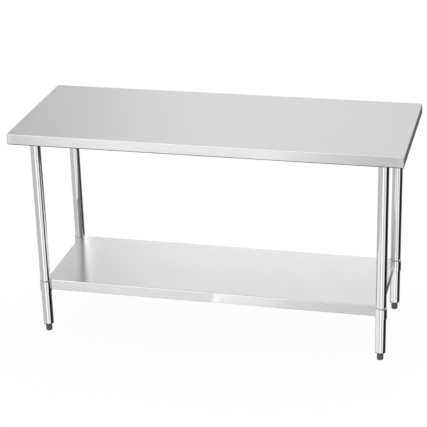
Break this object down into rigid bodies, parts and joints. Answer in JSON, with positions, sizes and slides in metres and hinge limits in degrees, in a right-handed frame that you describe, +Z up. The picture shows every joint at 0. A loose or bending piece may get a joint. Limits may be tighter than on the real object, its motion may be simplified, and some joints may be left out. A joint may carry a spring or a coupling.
{
  "type": "stainless work table",
  "caption": "Stainless steel work table: flat folded-edge worktop, round legs, height-adjustable undershelf on corner sleeves, and adjustable bullet feet.",
  "frame": {"origin": "on the floor, under the middle of the table", "axes": "+X along the worktop to the right, +Y to the back, +Z up"},
  "size_m": [1.524, 0.61, 0.874],
  "materials": {
    "worktop_sheet": "fine brushed stainless, along the length",
    "shelf_sheet": "fine brushed stainless, along the length",
    "channel_steel": "galvanised sheet, dull",
    "leg_steel": "polished stainless tube",
    "sleeve_steel": "polished stainless",
    "socket_steel": "galvanised, dull",
    "fastener_steel": "zinc plated",
    "foot_plastic": "moulded dark grey plastic"
  },
  "bodies": {
    "table_frame": {"worktop_pan": "worktop_sheet", "worktop_channel_left": "channel_steel", "worktop_channel_right": "channel_steel", "worktop_channel_centre": "channel_steel", "channel_studs": "fastener_steel", "channel_nuts": "fastener_steel", "socket_set_screws": "fastener_steel", "leg_socket_front_left": "socket_steel", "leg_tube_front_left": "leg_steel", "foot_insert_front_left": "foot_plastic", "leg_socket_front_right": "socket_steel", "leg_tube_front_right": "leg_steel", "foot_insert_front_right": "foot_plastic", "leg_socket_back_left": "socket_steel", "leg_tube_back_left": "leg_steel", "foot_insert_back_left": "foot_plastic", "leg_socket_back_right": "socket_steel", "leg_tube_back_right": "leg_steel", "foot_insert_back_right": "foot_plastic"},
    "undershelf": {"shelf_pan": "shelf_sheet", "shelf_channel": "channel_steel", "sleeve_set_screws": "fastener_steel", "shelf_sleeve_front_left": "sleeve_steel", "shelf_sleeve_front_right": "sleeve_steel", "shelf_sleeve_back_left": "sleeve_steel", "shelf_sleeve_back_right": "sleeve_steel"},
    "foot_front_left": {"foot_stem_front_left": "fastener_steel", "foot_bullet_front_left": "foot_plastic"},
    "foot_front_right": {"foot_stem_front_right": "fastener_steel", "foot_bullet_front_right": "foot_plastic"},
    "foot_back_left": {"foot_stem_back_left": "fastener_steel", "foot_bullet_back_left": "foot_plastic"},
    "foot_back_right": {"foot_stem_back_right": "fastener_steel", "foot_bullet_back_right": "foot_plastic"}
  },
  "joints": [
    {"name": "shelf_height", "type": "slide", "parent": "table_frame", "child": "undershelf", "axis": [0, 0, 1], "range_m": [-0.135, 0.57]},
    {"name": "foot_height_front_left", "type": "slide", "parent": "table_frame", "child": "foot_front_left", "axis": [0, 0, -1], "range_m": [0, 0.025]},
    {"name": "foot_height_front_right", "type": "slide", "parent": "table_frame", "child": "foot_front_right", "axis": [0, 0, -1], "range_m": [0, 0.025]},
    {"name": "foot_height_back_left", "type": "slide", "parent": "table_frame", "child": "foot_back_left", "axis": [0, 0, -1], "range_m": [0, 0.025]},
    {"name": "foot_height_back_right", "type": "slide", "parent": "table_frame", "child": "foot_back_right", "axis": [0, 0, -1], "range_m": [0, 0.025]}
  ]
}
